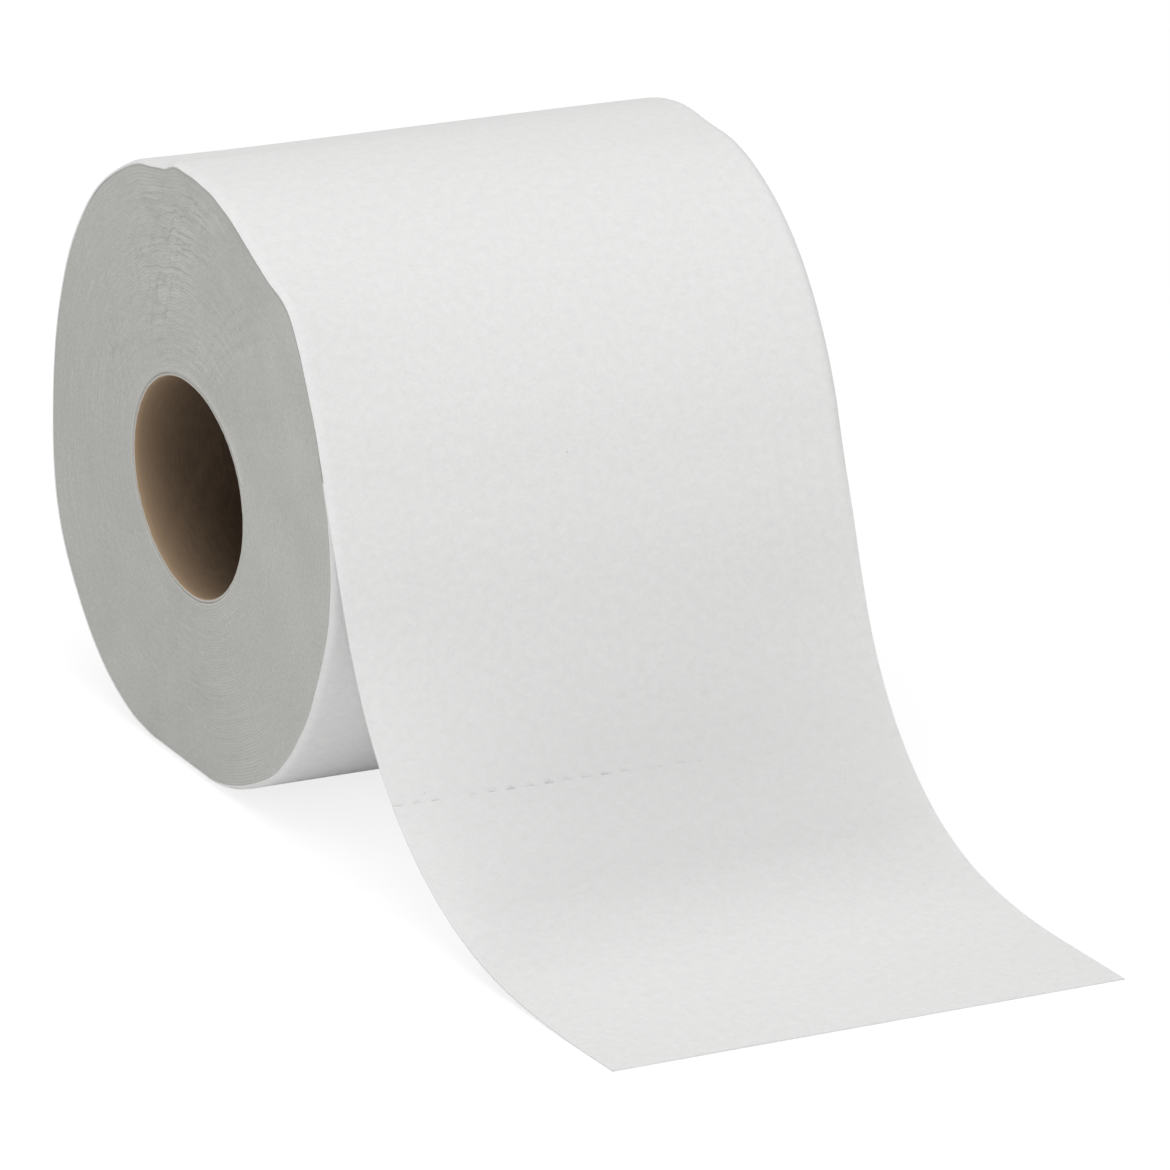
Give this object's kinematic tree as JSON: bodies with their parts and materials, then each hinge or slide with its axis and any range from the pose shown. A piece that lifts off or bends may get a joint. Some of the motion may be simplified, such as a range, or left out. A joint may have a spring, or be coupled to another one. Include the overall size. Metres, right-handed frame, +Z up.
{
  "type": "toilet paper roll",
  "caption": "Roll of white toilet tissue on a cardboard core, lying on its side with the free end curling off over the front to a perforated last sheet.",
  "frame": {"origin": "on the axis of the core's bore, half way along the roll", "axes": "+X along the roll, -Y to the front where the free end lies, +Z up"},
  "size_m": [0.103, 0.2075, 0.1092],
  "materials": {
    "tissue": "soft matt tissue",
    "cardboard": "uncoated brown board"
  },
  "bodies": {
    "root": {"tissue_web": "tissue", "cardboard_core": "cardboard"}
  },
  "joints": []
}
